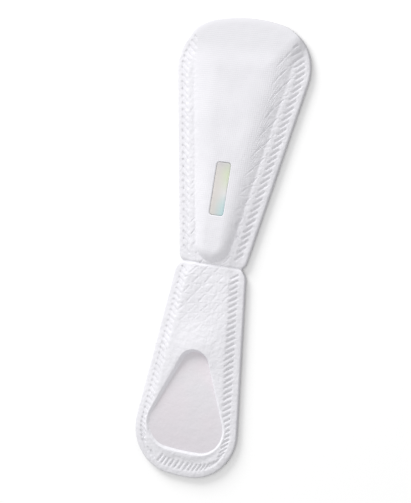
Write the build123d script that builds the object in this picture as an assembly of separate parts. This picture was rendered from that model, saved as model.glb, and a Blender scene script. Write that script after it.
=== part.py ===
from build123d import *
import math
import os

# A lateral flow test in a two-lobed case of moulded paper: a hump over the test strip on the upper
# lobe, a teardrop opening over the absorbent pad on the lower one, and a crease between them.
# It lies on its back. X runs across, Y from the sampling end to the wide end, Z up out of the front.

# Plan of the two lobes, with lengths measured from the crease
UPPER_LENGTH = 75.5
LOWER_LENGTH = 64.5
CREASE_WIDTH = 19.2  # across the bottom of the two notches
UPPER_FOOT_WIDTH = 21.8  # across the upper lobe's waist corners
UPPER_FOOT_RISE = 1.6  # from the crease up to those corners
UPPER_FOOT_RADIUS = 1.5
UPPER_FLARE = 10.4  # lean of each side from the axis, in degrees
UPPER_END_RADIUS = 46.0
UPPER_CORNER_RADIUS = 14.5
LOWER_FOOT_WIDTH = 22.8
LOWER_FOOT_RISE = 2.2
LOWER_FOOT_RADIUS = 3.0
LOWER_FLARE = 6.2
LOWER_END_RADIUS = 60.0
LOWER_CORNER_RADIUS = 14.0

# Heights of the paper shells
BACK_PLY = 0.8
FRONT_PLY = 0.8
EDGE_ROUND = 0.3  # rounding of the front ply's outer edge
BODY_RISE = 0.8  # the padded body above the sealed flange
HUMP_RISE = 1.8  # the hump's plateau above the body
CREASE_DEPTH = 0.35
CREASE_GROOVE = 1.1  # width of the crease's groove

# The padded body inside the sealed flange
FLANGE = 3.0  # from the outline to the foot of the body
BODY_RUN = 1.2  # plan width of the body's sloping edge
SEAL = 5.2  # from the outline to the room left for the pads

# The hump over the strip
HUMP_MARGIN = 5.9  # from the lobe's side to the hump's foot
HUMP_NOSE = 0.9  # from the crease to the foot of the nose
HUMP_NOSE_RADIUS = 4.0
HUMP_NOSE_RUN = 1.2  # plan width of the wall at the nose
HUMP_END_RUN = 3.0  # plan width of the wall at the wide end
HUMP_SHOULDER = 3.0  # rounding from the plateau into the walls
RAMP_LENGTH = 12.5  # the plateau slopes down over this length to the wide end
RAMP_EDGE = 0.5  # height left at the end, above the flange
RAMP_BLEND = 40.0  # radius between plateau and ramp
END_SEAL = 6.0  # solid paper between the strip's room and the wide end

# The reading window
WINDOW_WIDTH = 4.6
WINDOW_LENGTH = 16.2
WINDOW_RISE = 23.0  # from the crease to the window's middle
WINDOW_RADIUS = 0.9
FILM_LAP = 0.7  # of the film under the paper round the window
FILM_THICKNESS = 0.25

# The teardrop sampling opening
TEAR_MARGIN = 7.2  # from the lower lobe's end to the teardrop's wide end
TEAR_LENGTH = 31.1  # from the tip to the wide end
TEAR_HALF_ANGLE = 23.0
TEAR_TIP_RADIUS = 5.1
TEAR_CORNER_RADIUS = 7.6
TEAR_END_RADIUS = 90.0
LIP_RUN = 0.6  # plan width of the lip that slopes down to the pad
LIP_WALL = 0.7
LIP_BEVEL = 0.25  # bevel round the lip's upper edge

# Pressed bars of the seal, which lean outwards and up, with the lean given from X in degrees
BAR_WIDTH = 0.65
BAR_DEPTH = 0.35
BAR_CLEAR = 0.6  # kept between a bar and the teardrop or the hump
BAR_SHORTEST = 1.4
UPPER_BAR_LENGTH = 3.3
UPPER_BAR_PITCH = 2.2
UPPER_BAR_RIM = 1.5  # plain rim outside the bars
UPPER_BAR_LEAN = 42.0
LOWER_BAR_LENGTH = 2.7
LOWER_BAR_PITCH = 1.72
LOWER_BAR_RIM = 2.0
LOWER_BAR_LEAN = 35.0  # along the lower lobe's sides
END_BAR_LEAN = 62.0  # at the middle of the sampling end, where the bars stand up more

# The test strip and its pads, with places measured from the crease
STRIP_WIDTH = 5.4
CARD_THICKNESS = 0.85
CARD_START = 7.0
CARD_END = 60.0
MEMBRANE_THICKNESS = 0.2
MEMBRANE_START = 12.0
MEMBRANE_END = 37.0
CONJUGATE_THICKNESS = 0.4
CONJUGATE_START = 8.5
WICK_THICKNESS = 0.8
WICK_END = 58.0
OVERLAP = 2.0  # of one pad over the next
STEP_RUN = 0.4  # plan length of the slope where a pad climbs over the next
PAD_THICKNESS = 0.55
PAD_SHOULDER = 4.0  # from the crease to where the pad narrows to its tongue
PAD_LAP = 0.9  # pad under the teardrop's lip
PAD_CLEAR = 0.3  # between the pad and the paper round it

# Levels that follow from the heights above
FLANGE_TOP = BACK_PLY + FRONT_PLY
BODY_TOP = FLANGE_TOP + BODY_RISE
HUMP_TOP = BODY_TOP + HUMP_RISE
PAD_TOP = BACK_PLY + PAD_THICKNESS
CARD_TOP = BACK_PLY + CARD_THICKNESS
FILM_TOP = HUMP_TOP - FRONT_PLY
CREASE_Y = (LOWER_LENGTH - UPPER_LENGTH) / 2
REACH = UPPER_LENGTH + LOWER_LENGTH  # longer than any cut needs to be


def lobe_half(length, foot_width, foot_rise, flare, end_radius, corner_radius):
    """Side, end corner and half end arc of a lobe that points to +Y, on its +X half."""
    lean = math.radians(flare)
    along = Vector(math.sin(lean), math.cos(lean))
    inward = Vector(-along.Y, along.X)
    foot = Vector(foot_width / 2, foot_rise)
    end_centre = Vector(0, length - end_radius)
    # The corner touches the side and the end arc from inside, so its centre lies
    # corner_radius from the side and end_radius - corner_radius from the end arc's centre.
    inset = foot + inward * corner_radius - end_centre
    slide = inset.dot(along)
    climb = math.sqrt(slide**2 - inset.dot(inset) + (end_radius - corner_radius) ** 2) - slide
    corner_centre = end_centre + inset + along * climb
    side_top = corner_centre - inward * corner_radius
    corner_top = end_centre + (corner_centre - end_centre).normalized() * end_radius
    side = Line(foot, side_top)
    corner = TangentArc(side_top, corner_top, tangent=along)
    end = TangentArc(corner_top, Vector(0, length), tangent=corner % 1)
    return [side, corner, end]


def upper_half():
    """The upper lobe's right-hand edges, from the waist to the wide end."""
    return lobe_half(
        UPPER_LENGTH, UPPER_FOOT_WIDTH, UPPER_FOOT_RISE,
        UPPER_FLARE, UPPER_END_RADIUS, UPPER_CORNER_RADIUS,
    )


def lower_half():
    """The lower lobe's right-hand edges, from the waist to the sampling end."""
    pointing_up = lobe_half(
        LOWER_LENGTH, LOWER_FOOT_WIDTH, LOWER_FOOT_RISE,
        LOWER_FLARE, LOWER_END_RADIUS, LOWER_CORNER_RADIUS,
    )
    return [edge.mirror(Plane.XZ) for edge in pointing_up]


def outline():
    """Plan of the whole case: two lobes that meet at the notched crease."""
    upper = upper_half()
    lower = lower_half()
    notch = Vector(CREASE_WIDTH / 2, 0)
    right = [*upper, Line(upper[0] @ 0, notch), Line(notch, lower[0] @ 0), *lower]
    left = [edge.mirror(Plane.YZ) for edge in right]
    plan = make_face(right + left)
    for side in (1, -1):
        upper_foot = Vector(side * UPPER_FOOT_WIDTH / 2, UPPER_FOOT_RISE)
        lower_foot = Vector(side * LOWER_FOOT_WIDTH / 2, -LOWER_FOOT_RISE)
        plan = fillet(plan.vertices().sort_by_distance(upper_foot)[0], UPPER_FOOT_RADIUS)
        plan = fillet(plan.vertices().sort_by_distance(lower_foot)[0], LOWER_FOOT_RADIUS)
    return plan


def teardrop():
    """Plan of the sampling opening: a rounded tip, straight sides and a broad rounded end."""
    lean = math.radians(TEAR_HALF_ANGLE)
    end_y = TEAR_MARGIN - LOWER_LENGTH
    point_y = end_y + TEAR_LENGTH + TEAR_TIP_RADIUS / math.sin(lean) - TEAR_TIP_RADIUS
    # The straight side x = (point_y - y) tan(lean) meets the end arc at the sharp corner.
    end_centre = end_y + TEAR_END_RADIUS
    drop = point_y - end_centre
    slope = math.tan(lean)
    across = slope * (drop + math.sqrt((1 + slope**2) * TEAR_END_RADIUS**2 - (slope * drop) ** 2))
    corner_x = across / (1 + slope**2)
    corner_y = point_y - corner_x / slope
    right = Vector(corner_x, corner_y)
    left = Vector(-corner_x, corner_y)
    point = Vector(0, point_y)
    plan = make_face([Line(point, right), ThreePointArc(right, (0, end_y), left), Line(left, point)])
    plan = fillet(plan.vertices().sort_by_distance(point)[0], TEAR_TIP_RADIUS)
    for corner in (right, left):
        plan = fillet(plan.vertices().sort_by_distance(corner)[0], TEAR_CORNER_RADIUS)
    return plan


def prism(plan, low, high):
    """A plan raised straight up between two levels."""
    return extrude(Pos(0, 0, low) * plan, amount=high - low, dir=(0, 0, 1))


def between(plan_low, low, plan_high, high):
    """A straight-sided block that changes from one plan to another between two levels."""
    return loft([Pos(0, 0, low) * plan_low, Pos(0, 0, high) * plan_high], ruled=True)


def hump_plan(level, wall):
    """Plan of the hump at a level, drawn in by a wall thickness. Its end runs past the lobe's end."""
    share = (level + wall - BODY_TOP) / HUMP_RISE
    slope = math.tan(math.radians(UPPER_FLARE))
    foot_y = HUMP_NOSE + wall + HUMP_NOSE_RUN * share
    end_y = UPPER_LENGTH + FLANGE
    foot_x = UPPER_FOOT_WIDTH / 2 + slope * (foot_y - UPPER_FOOT_RISE)
    end_x = UPPER_FOOT_WIDTH / 2 + slope * (end_y - UPPER_FOOT_RISE)
    foot_x -= HUMP_MARGIN + wall + HUMP_NOSE_RUN * share
    end_x -= HUMP_MARGIN + wall + HUMP_END_RUN * share
    corners = [(foot_x, foot_y), (end_x, end_y), (-end_x, end_y), (-foot_x, foot_y)]
    plan = make_face(Polyline(*corners, close=True))
    nose = [v for v in plan.vertices() if v.Y < WINDOW_RISE]
    return fillet(nose, min(HUMP_NOSE_RADIUS, 0.9 * foot_x))


def hump_profile(wall):
    """Side view of the hump's top: level along the strip, then sloping down to the wide end."""
    top = HUMP_TOP - wall
    ramp_y = UPPER_LENGTH - RAMP_LENGTH
    fall = (HUMP_TOP - FLANGE_TOP - RAMP_EDGE) / RAMP_LENGTH
    past_end = UPPER_LENGTH + 2 * FLANGE
    shoulder = Vector(0, ramp_y, top)
    corners = [
        Vector(0, -FLANGE, -BODY_TOP),
        Vector(0, -FLANGE, top),
        shoulder,
        Vector(0, past_end, top - fall * (past_end - ramp_y)),
        Vector(0, past_end, -BODY_TOP),
    ]
    side_view = make_face(Polyline(*corners, close=True))
    side_view = fillet(side_view.vertices().sort_by_distance(shoulder)[0], RAMP_BLEND)
    return extrude(side_view, amount=UPPER_LENGTH, dir=(1, 0, 0), both=True)


def hump(wall):
    """The hump's form, or the room inside it when it is drawn in by a wall thickness."""
    low = -wall
    high = HUMP_TOP - wall + HUMP_RISE / 2
    block = between(hump_plan(low, wall), low, hump_plan(high, wall), high)
    return block & hump_profile(wall)


def shoulders(block):
    """The edges where the hump's top turns down into its walls."""
    tops = block.faces().filter_by(lambda face: face.normal_at().Z > 0.95)
    walls = block.faces().filter_by(lambda face: 0.05 < face.normal_at().Z < 0.95)
    top_edges = tops.edges()
    return [edge for edge in walls.edges() if edge in top_edges]


def bar_stations(path, pitch, first, turn):
    """Points at an even pitch along the right-hand edge of a lobe, and the inward directions there.
    The turn is 1 where the path has the inside on its left, and -1 where it has it on its right."""
    count = int((path.length - first) / pitch)
    stations = []
    for index in range(count + 1):
        place = first + index * pitch
        point = path.position_at(place, position_mode=PositionMode.LENGTH)
        forward = path.tangent_at(place, position_mode=PositionMode.LENGTH)
        stations.append((point, Vector(-forward.Y, forward.X) * turn))
    return stations


def bar_plan(length):
    """Plan of one pressed bar: a long hexagon, pointed at both ends."""
    half = length / 2
    shoulder = half - BAR_WIDTH / 2
    upper = [(-shoulder, BAR_WIDTH / 2), (shoulder, BAR_WIDTH / 2), (half, 0)]
    lower = [(shoulder, -BAR_WIDTH / 2), (-shoulder, -BAR_WIDTH / 2), (-half, 0)]
    return make_face(Polyline(*upper, *lower, close=True))


def bar_place(point, inward, rim, length, lean):
    """Where a bar lies: turned by its lean, with its outer end on the inner side of the rim."""
    along = Vector(math.cos(math.radians(lean)), math.sin(math.radians(lean)))
    reach = abs(along.dot(inward)) * length / 2
    return Pos(*(point + inward * (rim + reach))) * Rot(0, 0, lean)


def pressed_bars(opening):
    """Plans of every bar of the seal, kept clear of the teardrop opening and the hump."""
    upper_path = Wire(upper_half()[:2])
    lower_path = Wire(lower_half())
    upper_bar = bar_plan(UPPER_BAR_LENGTH)
    lower_bar = bar_plan(LOWER_BAR_LENGTH)
    right = []
    for point, inward in bar_stations(upper_path, UPPER_BAR_PITCH, UPPER_FOOT_RADIUS, 1):
        right.append(bar_place(point, inward, UPPER_BAR_RIM, UPPER_BAR_LENGTH, UPPER_BAR_LEAN) * upper_bar)
    for point, inward in bar_stations(lower_path, LOWER_BAR_PITCH, 0, -1):
        lean = LOWER_BAR_LEAN + (END_BAR_LEAN - LOWER_BAR_LEAN) * abs(inward.Y)
        place = bar_place(point, inward, LOWER_BAR_RIM, LOWER_BAR_LENGTH, lean)
        if place.position.X > LOWER_BAR_LENGTH / 2:
            right.append(place * lower_bar)
    keep_clear = [offset(opening, BAR_CLEAR), offset(hump_plan(FLANGE_TOP, 0), BAR_CLEAR)]
    trimmed = []
    for bar in right:
        for piece in (bar - keep_clear).faces():
            if piece.area > BAR_SHORTEST * BAR_WIDTH:
                trimmed.append(piece)
    return trimmed + [piece.mirror(Plane.YZ) for piece in trimmed]


def across_groove(width, depth, level):
    """A V-shaped groove that runs across the case along the crease."""
    section = [Vector(0, -width, level + depth), Vector(0, 0, level - depth), Vector(0, width, level + depth)]
    groove = make_face(Polyline(*section, close=True))
    return extrude(groove, amount=UPPER_LENGTH, dir=(1, 0, 0), both=True)


def laid_strip(base_line, thickness, width):
    """A soft strip that lies along a line of (y, z) points, level across its width."""
    low = [Vector(0, y, z) for y, z in base_line]
    high = [Vector(0, y, z + thickness) for y, z in reversed(base_line)]
    side_view = make_face(Polyline(*low, *high, close=True))
    return extrude(side_view, amount=width / 2, dir=(1, 0, 0), both=True)


def block_y(start, end, width, low, high):
    """A square-edged block along the strip, between two places and two levels."""
    plan = Pos(0, (start + end) / 2) * Rectangle(width, end - start)
    return prism(plan, low, high)


def pad_plan(case, opening_floor, grow):
    """Plan of the absorbent pad: the lower body, with the lap under the teardrop's lip."""
    inner = offset(case, -(SEAL + PAD_CLEAR - grow))
    below = Pos(0, -PAD_SHOULDER + grow - REACH / 2) * Rectangle(REACH, REACH)
    return (inner & below) + offset(opening_floor, PAD_LAP + grow)


case = outline()
opening = teardrop()
opening_floor = offset(opening, -LIP_RUN)
window = Pos(0, WINDOW_RISE) * RectangleRounded(WINDOW_WIDTH, WINDOW_LENGTH, WINDOW_RADIUS)
film_plan = offset(window, FILM_LAP)
tongue_end = CONJUGATE_START + OVERLAP
conjugate_end = MEMBRANE_START + OVERLAP
wick_start = MEMBRANE_END - OVERLAP
conjugate_top = CARD_TOP + CONJUGATE_THICKNESS
membrane_top = CARD_TOP + MEMBRANE_THICKNESS

# Back ply: the plain flat sheet
back_ply = prism(case, 0, BACK_PLY)

# Front ply, outside: the flange, the padded body and the hump
flange = prism(case, BACK_PLY, FLANGE_TOP)
flange = fillet(flange.faces().sort_by(Axis.Z)[-1].edges(), EDGE_ROUND)
body = between(offset(case, -FLANGE), FLANGE_TOP, offset(case, -(FLANGE + BODY_RUN)), BODY_TOP)
hump_block = hump(0)
hump_block = fillet(shoulders(hump_block), HUMP_SHOULDER)
hump_block = hump_block & prism(case, BACK_PLY, HUMP_TOP + HUMP_RISE)
front_ply = flange + body + hump_block

# Front ply, inside: room for the pads and the strip, with the lip left standing
pad_room = prism(pad_plan(case, opening_floor, PAD_CLEAR), BACK_PLY, BODY_TOP - FRONT_PLY)
neck_room = block_y(
    -PAD_SHOULDER, CARD_START, STRIP_WIDTH + 2 * PAD_CLEAR, BACK_PLY, BODY_TOP - FRONT_PLY
)
strip_room = hump(FRONT_PLY) & block_y(
    0, UPPER_LENGTH - END_SEAL, UPPER_LENGTH, BACK_PLY, HUMP_TOP
)
lip_rise = (BODY_TOP - PAD_TOP) * 1.5
lip_spread = LIP_RUN * lip_rise / (BODY_TOP - PAD_TOP)
opening_high = offset(opening_floor, lip_spread)
lip = between(
    offset(opening_floor, LIP_WALL), PAD_TOP, offset(opening_high, LIP_WALL), PAD_TOP + lip_rise
)
front_ply -= (pad_room + neck_room) - lip
front_ply -= strip_room
front_ply -= between(opening_floor, PAD_TOP, opening_high, PAD_TOP + lip_rise)
front_ply -= between(
    opening, BODY_TOP - LIP_BEVEL, offset(opening, 2 * LIP_BEVEL), BODY_TOP + LIP_BEVEL
)
front_ply -= prism(window, BACK_PLY, HUMP_TOP + HUMP_RISE)
front_ply -= across_groove(CREASE_GROOVE, CREASE_DEPTH, BODY_TOP)
bars = [prism(plan, FLANGE_TOP - BAR_DEPTH, BODY_TOP + BAR_DEPTH) for plan in pressed_bars(opening)]
front_ply -= bars

# The clear film, bonded to the underside of the paper round the window
window_film = prism(film_plan, FILM_TOP - FILM_THICKNESS, FILM_TOP)

# The strip: card, membrane and the pads that climb over each other along it
backing_card = block_y(CARD_START, CARD_END, STRIP_WIDTH, BACK_PLY, CARD_TOP)
membrane = block_y(MEMBRANE_START, MEMBRANE_END, STRIP_WIDTH, CARD_TOP, membrane_top)
conjugate_pad = laid_strip(
    [
        (CONJUGATE_START, CARD_TOP),
        (MEMBRANE_START - STEP_RUN, CARD_TOP),
        (MEMBRANE_START, membrane_top),
        (conjugate_end, membrane_top),
    ],
    CONJUGATE_THICKNESS,
    STRIP_WIDTH,
)
wick_pad = laid_strip(
    [
        (wick_start, membrane_top),
        (MEMBRANE_END, membrane_top),
        (MEMBRANE_END + STEP_RUN, CARD_TOP),
        (WICK_END, CARD_TOP),
    ],
    WICK_THICKNESS,
    STRIP_WIDTH,
)

# The absorbent pad under the teardrop, with the tongue that feeds the strip
tongue = laid_strip(
    [
        (-PAD_SHOULDER - OVERLAP, BACK_PLY),
        (CARD_START - 2 * STEP_RUN, BACK_PLY),
        (CARD_START, CARD_TOP),
        (CONJUGATE_START - STEP_RUN, CARD_TOP),
        (CONJUGATE_START, conjugate_top),
        (tongue_end, conjugate_top),
    ],
    PAD_THICKNESS,
    STRIP_WIDTH,
)
collection_pad = prism(pad_plan(case, opening_floor, 0), BACK_PLY, PAD_TOP) + tongue

nodes = {
    "front_ply": front_ply,
    "back_ply": back_ply,
    "window_film": window_film,
    "backing_card": backing_card,
    "membrane": membrane,
    "conjugate_pad": conjugate_pad,
    "collection_pad": collection_pad,
    "wick_pad": wick_pad,
}

os.makedirs("parts", exist_ok=True)
for name, solid in nodes.items():
    export_step(Pos(0, CREASE_Y, 0) * solid, os.path.join("parts", name + ".step"))
    print(name, len(solid.solids()), "solid", round(solid.volume, 1), "mm3")
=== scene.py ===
# %% [markdown]
# # A paper lateral flow test
# The object is a test stick in a soft white case of pressed plant fibre. Two lobes meet at a creased
# waist: the upper has a hump with a reading window over the test strip, the lower a teardrop opening over
# an absorbent pad. The solid model is loaded as a fixed frame. The soft paper that shows is then worked
# out as surfaces with numpy, and the small flat pieces keep their solids.

# %% Load the frame
import math

import bmesh
import bpy
import numpy as np
from mathutils import Matrix, Vector


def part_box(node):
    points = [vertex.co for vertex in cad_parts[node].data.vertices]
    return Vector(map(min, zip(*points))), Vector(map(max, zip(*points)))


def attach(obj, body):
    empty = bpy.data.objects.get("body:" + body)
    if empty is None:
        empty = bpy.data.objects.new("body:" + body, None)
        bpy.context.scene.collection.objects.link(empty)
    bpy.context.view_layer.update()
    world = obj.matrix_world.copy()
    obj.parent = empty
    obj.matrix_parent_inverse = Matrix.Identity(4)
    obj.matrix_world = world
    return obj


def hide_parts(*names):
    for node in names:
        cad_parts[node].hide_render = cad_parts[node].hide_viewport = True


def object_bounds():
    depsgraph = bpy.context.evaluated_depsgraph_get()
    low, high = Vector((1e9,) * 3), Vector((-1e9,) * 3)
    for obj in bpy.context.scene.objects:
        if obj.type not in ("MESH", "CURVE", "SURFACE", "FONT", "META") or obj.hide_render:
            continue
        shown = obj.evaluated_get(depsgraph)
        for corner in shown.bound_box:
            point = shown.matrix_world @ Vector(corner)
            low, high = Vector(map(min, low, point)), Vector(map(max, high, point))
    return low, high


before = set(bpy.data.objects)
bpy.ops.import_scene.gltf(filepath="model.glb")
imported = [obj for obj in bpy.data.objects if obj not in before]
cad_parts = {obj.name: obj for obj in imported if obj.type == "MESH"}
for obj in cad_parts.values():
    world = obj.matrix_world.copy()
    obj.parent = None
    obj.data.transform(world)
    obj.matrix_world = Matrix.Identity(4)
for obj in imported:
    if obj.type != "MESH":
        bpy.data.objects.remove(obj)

scene = bpy.context.scene
cad_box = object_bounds()
print("solid model", [round(v * 1000, 1) for v in cad_box[1] - cad_box[0]], "mm")

# %% [markdown]
# ## Sizes
# Surfaces are drawn in millimetres, with Y measured from the crease, because a paper case is laid out from
# its fold. The frame gives the crease's place: the lower lobe's length above its lowest Y. Heights are
# levels above the table.

# %% Named sizes
MM = 0.001
UPPER_LENGTH = 75.5
LOWER_LENGTH = 64.5
CREASE_WIDTH = 19.2
CREASE_Y = cad_box[0].y / MM + LOWER_LENGTH

BACK_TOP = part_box("back_ply")[1].z / MM
HUMP_TOP = cad_box[1].z / MM
FILM_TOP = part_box("window_film")[1].z / MM
PLY = 0.8
FLANGE_TOP = BACK_TOP + PLY
BODY_RISE = 0.8
BODY_TOP = FLANGE_TOP + BODY_RISE
PAD_THICKNESS = 0.55
PAD_TOP = BACK_TOP + PAD_THICKNESS
print("crease at", round(CREASE_Y, 2), "mm, hump", round(HUMP_TOP, 2), "mm high")

# %% [markdown]
# ## The camera
# The camera looks down on the flat test from a little to the right. Its turn, tilt and roll multiply to a
# matrix whose rows are its right, up and backward directions. A focal length in pixels turns into a lens
# length by the sensor's width over the picture's longer side.

# %% Camera
IMAGE_SIZE = (411, 503)
FOCAL_PIXELS = 1318.1
NEAREST_SEEN = 0.01
DISTANCE = 400.0
CAMERA_YAW = 22.0
CAMERA_PITCH = -0.15
CAMERA_ROLL = -9.1
LOOK_AT_Y = 2.0
SLIDE_PIXELS = (-8.38, 7.0)


def turn(axis, degrees):
    """Rotation matrix about one axis, by an angle in degrees."""
    return np.array(Matrix.Rotation(math.radians(degrees), 3, axis))


def added(name, data):
    """A new object in the scene, for a camera, a mesh or a lamp."""
    made = bpy.data.objects.new(name, data)
    scene.collection.objects.link(made)
    return made


right, up, back = turn("Z", CAMERA_ROLL) @ turn("X", CAMERA_PITCH) @ turn("Y", -CAMERA_YAW)
slide = (right * SLIDE_PIXELS[0] + up * SLIDE_PIXELS[1]) * DISTANCE / FOCAL_PIXELS
stand = (np.array([0, LOOK_AT_Y + CREASE_Y, 0]) + back * DISTANCE + slide) * MM

camera_data = bpy.data.cameras.new("camera")
camera_data.lens = FOCAL_PIXELS * camera_data.sensor_width / max(IMAGE_SIZE)
camera_data.clip_start = NEAREST_SEEN
camera = added("camera", camera_data)
camera.matrix_world = Matrix.Translation(stand) @ Matrix(np.array([right, up, back]).T).to_4x4()
scene.camera = camera
print("lens", round(camera_data.lens, 1), "mm")

# %% [markdown]
# ## Lines in plan
# The case is cut from a sheet, so everything starts from a few lines seen from above. Both sides are the
# same, so each line is drawn for the right half only, as arcs and straight runs that touch. A drawn curve
# would do, but a formula keeps the arcs true and can be sampled as finely as needed.

# %% Arcs and corners
ARC_STEP = 0.08


def unit(vector):
    """A vector, or rows of vectors, scaled to length one."""
    return vector / np.linalg.norm(vector, axis=-1, keepdims=True)


def heading(angle):
    """Unit vectors (cos a, sin a) at angles in radians."""
    return np.stack([np.cos(angle), np.sin(angle)], axis=-1)


def arc(centre, radius, start, end):
    """Points on a circle: centre + radius (cos a, sin a), for a from start to end."""
    angle = np.linspace(start, end, max(4, int(abs(end - start) * radius / ARC_STEP)))
    return np.asarray(centre) + radius * heading(angle)


def corner_arc(before, corner, after, radius):
    """The arc that rounds a corner: its centre lies on the bisector, radius / sin(half angle) away."""
    toward, onward = unit(before - corner), unit(after - corner)
    half = math.acos(np.clip(toward @ onward, -1, 1)) / 2
    centre = corner + unit(toward + onward) * radius / math.sin(half)
    touch = corner + np.array([toward, onward]) * radius / math.tan(half) - centre
    return arc(centre, radius, *np.unwrap(np.arctan2(touch[:, 1], touch[:, 0])))


def touching_corner(start, along, end_centre, gap):
    """Centre of a corner arc that touches an end arc: the place start + t along that is a gap from the
    end's centre. Also the angle at which the two arcs meet."""
    inset = start - end_centre
    inner = inset @ along
    reach = inset + along * (math.sqrt(inner**2 - inset @ inset + gap**2) - inner)
    return end_centre + reach, math.atan2(reach[1], reach[0])


# %% Even spacing
def run_length(line):
    """Distance along a line of points, from its start to each point."""
    return np.concatenate([[0], np.cumsum(np.linalg.norm(np.diff(line, axis=0), axis=1))])


def at_lengths(line, places):
    """Points of a line at given distances from its start."""
    along = run_length(line)
    return np.stack([np.interp(places, along, line[:, axis]) for axis in (0, 1)], axis=1)


def spaced(line, step):
    """The same line with evenly spaced points, about a step in millimetres apart."""
    length = run_length(line)[-1]
    return at_lengths(line, np.linspace(0, length, int(length / step) + 1))


def whole_loop(half):
    """A closed line: its right half, then the mirror image back to the start."""
    return np.concatenate([half, half[-2:0:-1] * [-1, 1]])


# %% [markdown]
# A lobe's edge leaves the notch at the crease, turns a small rounded foot, runs up a straight flared side
# and closes with a corner arc and a broad end arc that touch. A foot is a width across the case and a
# rise from the crease.

# %% The outline of the case
UPPER_FOOT = (21.8, 1.6)
UPPER_FLARE = 10.4
UPPER_LOBE = {"foot_radius": 1.5, "flare": UPPER_FLARE, "end_radius": 46, "corner_radius": 14.5}
LOWER_FOOT = (22.8, 2.2)
LOWER_LOBE = {"foot_radius": 3.0, "flare": 6.2, "end_radius": 60, "corner_radius": 14}
DOWN = np.array([1, -1])
EDGE_STEP = 0.06


def lobe_edge(length, foot_width, foot_rise, foot_radius, flare, end_radius, corner_radius):
    """Right-hand edge of a lobe that points to +Y: notch, rounded foot, side, corner arc, end arc. Also the
    line that the seal follows, which starts at the foot, and its length up to the end arc."""
    lean = math.radians(flare)
    along = np.array([math.sin(lean), math.cos(lean)])
    inward = np.array([-along[1], along[0]])
    notch, foot = np.array([CREASE_WIDTH / 2, 0]), np.array([foot_width / 2, foot_rise])
    end_centre = np.array([0, length - end_radius])
    start = foot + inward * corner_radius
    corner_centre, turn_end = touching_corner(start, along, end_centre, end_radius - corner_radius)
    side_top = corner_centre - inward * corner_radius
    rounded_foot = corner_arc(notch, foot, side_top, foot_radius)
    corner = arc(corner_centre, corner_radius, -lean, turn_end)
    end = arc(end_centre, end_radius, turn_end, math.pi / 2)
    bar_path = np.concatenate([[foot], corner, end[1:]])
    bar_stop = run_length(np.concatenate([[foot], corner]))[-1]
    return np.concatenate([[notch], rounded_foot, corner, end[1:]]), bar_path, bar_stop


upper_edge, upper_bar_path, upper_bar_stop = lobe_edge(UPPER_LENGTH, *UPPER_FOOT, **UPPER_LOBE)
lower_edge, lower_bar_path, _ = lobe_edge(LOWER_LENGTH, *LOWER_FOOT, **LOWER_LOBE)
lower_edge = spaced(lower_edge, EDGE_STEP) * DOWN
lower_bar_path = lower_bar_path * DOWN
outline = whole_loop(np.concatenate([lower_edge[::-1], upper_edge[1:]]))
print("outline", round(run_length(outline)[-1], 1), "mm round")

# %% [markdown]
# The reading window is a rounded rectangle. The sampling opening is a teardrop: a tip arc, two straight
# sides, rounded corners and a broad end. Both can be grown by a margin, because the rings of paper round
# a hole are the same line, further out.

# %% The window and the teardrop
WINDOW_WIDTH = 4.6
WINDOW_LENGTH = 16.2
WINDOW_RISE = 23.0
WINDOW_RADIUS = 0.9
TEAR_TIP = -26.2
TEAR_END = -57.3
TEAR_HALF_ANGLE = 23.0
TEAR_TIP_RADIUS = 5.1
TEAR_CORNER_RADIUS = 7.6
TEAR_END_RADIUS = 90.0


def window_edge(grow):
    """Right half of the window's rounded rectangle, grown by a margin, from its low end to its high end."""
    half_width, half_length = WINDOW_WIDTH / 2, WINDOW_LENGTH / 2
    centre_x, centre_y = half_width - WINDOW_RADIUS, half_length - WINDOW_RADIUS
    radius = WINDOW_RADIUS + grow
    low = arc((centre_x, -centre_y), radius, -math.pi / 2, 0)
    high = arc((centre_x, centre_y), radius, 0, math.pi / 2)
    ends = np.array([[0, half_length + grow]])
    return np.concatenate([-ends, low, high, ends]) + [0, WINDOW_RISE]


def tear_edge(grow):
    """Right half of the teardrop, grown by a margin, from its tip: tip arc, side, corner and end arc."""
    lean = math.radians(TEAR_HALF_ANGLE)
    tip_centre = np.array([0, TEAR_TIP - TEAR_TIP_RADIUS])
    along = np.array([math.sin(lean), -math.cos(lean)])
    start = tip_centre + heading(lean) * (TEAR_TIP_RADIUS - TEAR_CORNER_RADIUS)
    end_centre = np.array([0, TEAR_END + TEAR_END_RADIUS])
    gap = TEAR_END_RADIUS - TEAR_CORNER_RADIUS
    corner_centre, turn_end = touching_corner(start, along, end_centre, gap)
    tip = arc(tip_centre, TEAR_TIP_RADIUS + grow, math.pi / 2, lean)
    corner = arc(corner_centre, TEAR_CORNER_RADIUS + grow, lean, turn_end)
    end = arc(end_centre, TEAR_END_RADIUS + grow, turn_end, -math.pi / 2)
    return np.concatenate([tip, corner, end[1:]])


teardrop = whole_loop(tear_edge(0))
print("teardrop", round(2 * tear_edge(0)[:, 0].max(), 1), "mm wide")

# %% [markdown]
# ## Heights of the pressed paper
# The front sheet was pressed in a mould, so its height is a function of the place in plan, put together
# from plain forms: a flange, a padded body, the hump, and the marks pressed into them. Sculpting would give
# the same looks once, but a formula can be read, and each term is one feature of the mould. Most terms
# depend on how far a place is from an edge, so distances come first.

# %% Distances
OUTLINE_STEP = 0.5


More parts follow.
